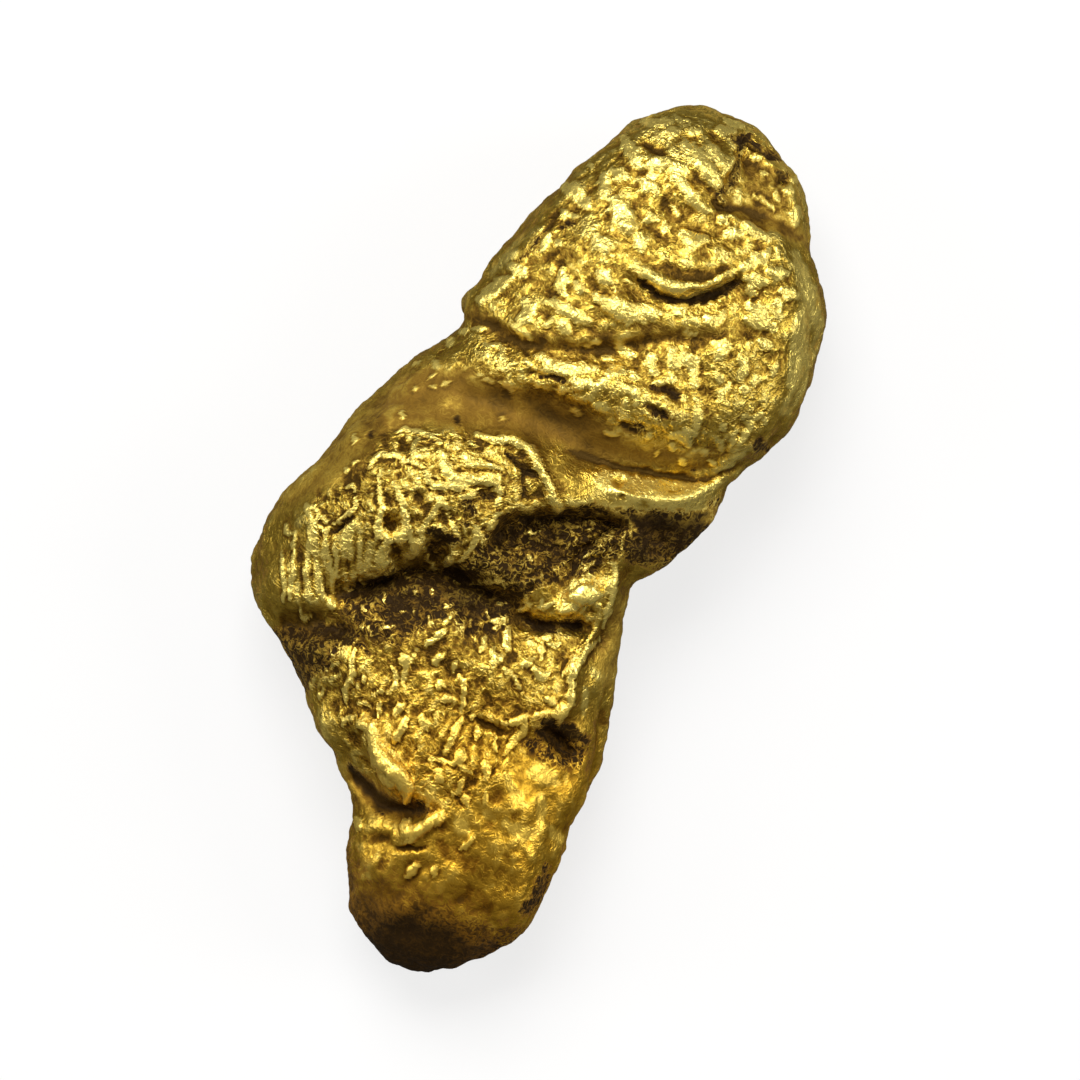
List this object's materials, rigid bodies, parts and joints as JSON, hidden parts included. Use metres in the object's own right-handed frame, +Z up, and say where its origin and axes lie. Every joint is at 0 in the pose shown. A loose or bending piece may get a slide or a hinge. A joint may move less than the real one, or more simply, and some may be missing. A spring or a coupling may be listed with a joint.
{
  "type": "gold nugget",
  "caption": "Long, bent natural gold nugget lying flat, crumpled and pitted on top with a deep cleft at its waist, worn smooth on its flanks, resting on flat patches.",
  "frame": {"origin": "centre of the bounding box's underside, on the surface that the nugget rests on", "axes": "+Y along the nugget towards its broad end, +X across it towards the side of the waist's inner bend, +Z up out of its crumpled face"},
  "size_m": [0.0088, 0.0182, 0.0048],
  "materials": {
    "native_gold": null
  },
  "bodies": {
    "root": {"gold_nugget": "native_gold"}
  },
  "joints": []
}
